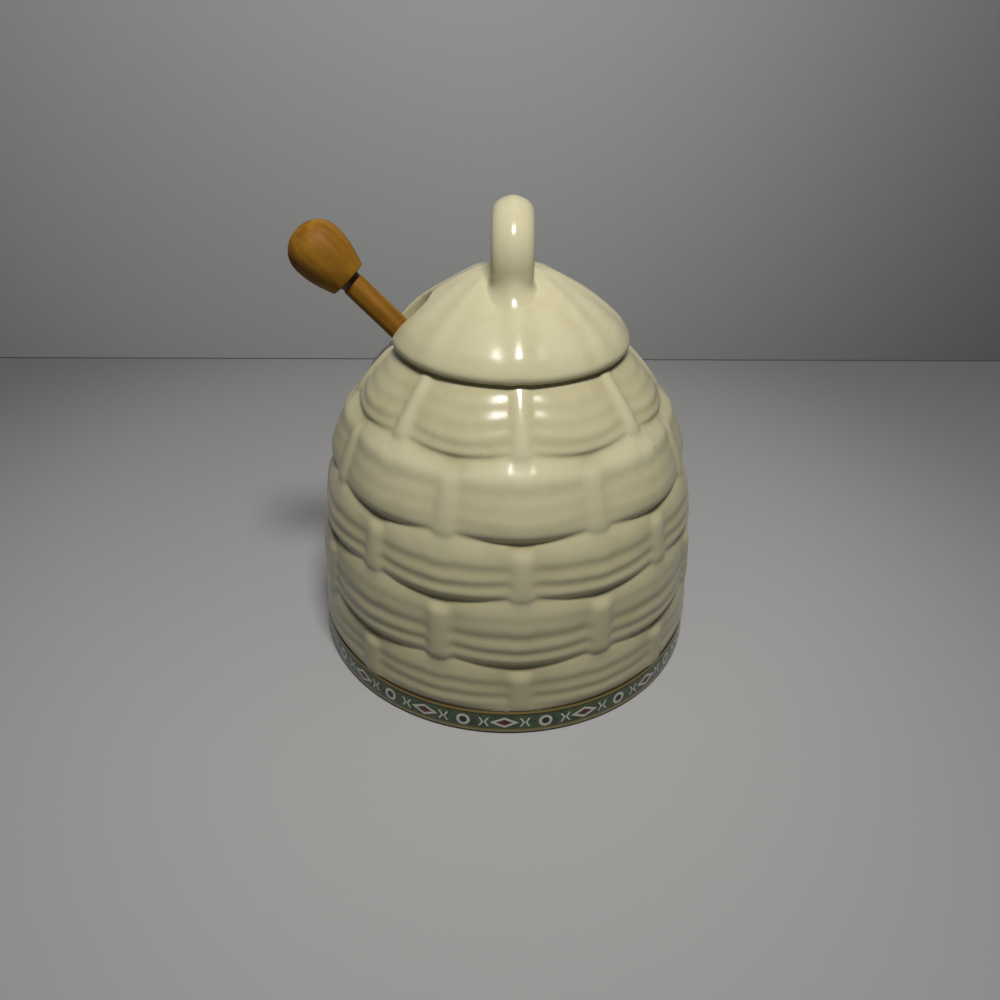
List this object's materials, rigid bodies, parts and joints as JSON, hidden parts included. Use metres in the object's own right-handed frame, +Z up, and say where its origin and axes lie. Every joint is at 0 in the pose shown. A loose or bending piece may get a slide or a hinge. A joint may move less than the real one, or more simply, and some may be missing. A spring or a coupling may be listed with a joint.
{
  "type": "honey pot with lid and dipper",
  "caption": "Glazed stoneware honey pot like a woven beehive, with a lift-off lid, a loop handle, a printed foot border and a wooden dipper in the lid's notch.",
  "frame": {"origin": "on the pot's axis, at the level of the surface it stands on", "axes": "+Z up along the pot's axis; -Y to the front; the dipper leans out towards -X"},
  "size_m": [0.114, 0.114, 0.1261],
  "materials": {
    "stoneware": "glossy cream glaze with fine dark specks",
    "printed_border": "glossy printed border in green, gold, white and red",
    "wood": "oiled"
  },
  "bodies": {
    "pot": {"pot_body": "stoneware", "border_band": "printed_border"},
    "lid": {"lid": "stoneware", "lid_handle": "stoneware"},
    "dipper": {"dipper_stem": "wood", "dipper_knob": "wood", "dipper_head": "wood"}
  },
  "joints": [
    {"name": "lid_lift", "type": "slide", "parent": "pot", "child": "lid", "axis": [0, 0, 1], "range_m": [0, 0.04]},
    {"name": "dipper_draw", "type": "slide", "parent": "pot", "child": "dipper", "axis": [-0.6915, 0, 0.7224], "range_m": [0, 0.072]}
  ]
}
